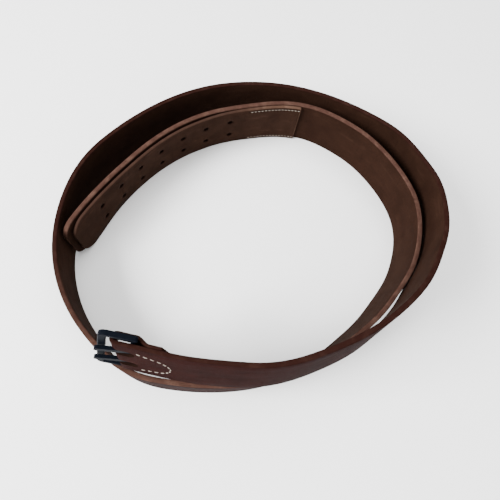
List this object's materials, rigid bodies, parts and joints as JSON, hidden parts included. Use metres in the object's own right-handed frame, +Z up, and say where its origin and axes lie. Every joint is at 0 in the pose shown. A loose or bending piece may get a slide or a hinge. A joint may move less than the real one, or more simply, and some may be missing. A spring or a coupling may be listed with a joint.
{
  "type": "leather double-prong belt",
  "caption": "Wide leather belt with a double-prong buckle and a stitched, holed billet, coiled and standing on its lower edge.",
  "frame": {"origin": "middle of the coil's footprint, on the surface the belt stands on", "axes": "+Z up, along the strap's width; the buckle end lies over the front of the coil, on the -Y side; +X to the right"},
  "size_m": [0.2527, 0.2353, 0.1011],
  "materials": {
    "strap_leather": "waxed, slightly worn",
    "billet_leather": "waxed, slightly worn",
    "black_metal": "satin black",
    "thread": "waxed thread"
  },
  "bodies": {
    "belt": {"main_strap": "strap_leather", "billet_heel": "billet_leather", "billet_thread_upper": "thread", "billet_thread_lower": "thread", "chape_thread": "thread"},
    "billet": {"billet_tongue": "billet_leather"},
    "buckle": {"buckle_frame": "black_metal"},
    "prong_upper_body": {"prong_upper": "black_metal"},
    "prong_lower_body": {"prong_lower": "black_metal"}
  },
  "joints": [
    {"name": "buckle_swing", "type": "hinge", "parent": "belt", "child": "buckle", "pos_m": [-0.04499, -0.10346, 0.07148], "axis": [-0.1949, -0.1977, -0.9607], "range_deg": [0, 130]},
    {"name": "upper_prong_swing", "type": "hinge", "parent": "buckle", "child": "prong_upper_body", "pos_m": [-0.04499, -0.10346, 0.07148], "axis": [0.1949, 0.1977, 0.9607], "range_deg": [0, 72]},
    {"name": "lower_prong_swing", "type": "hinge", "parent": "buckle", "child": "prong_lower_body", "pos_m": [-0.04499, -0.10346, 0.07148], "axis": [0.1949, 0.1977, 0.9607], "range_deg": [0, 72]},
    {"name": "billet_flex", "type": "hinge", "parent": "belt", "child": "billet", "pos_m": [-0.019, 0.0847, 0.0222], "axis": [0, 0, 1], "range_deg": [0, 30], "stiffness_Nm_per_rad": 0.02}
  ]
}
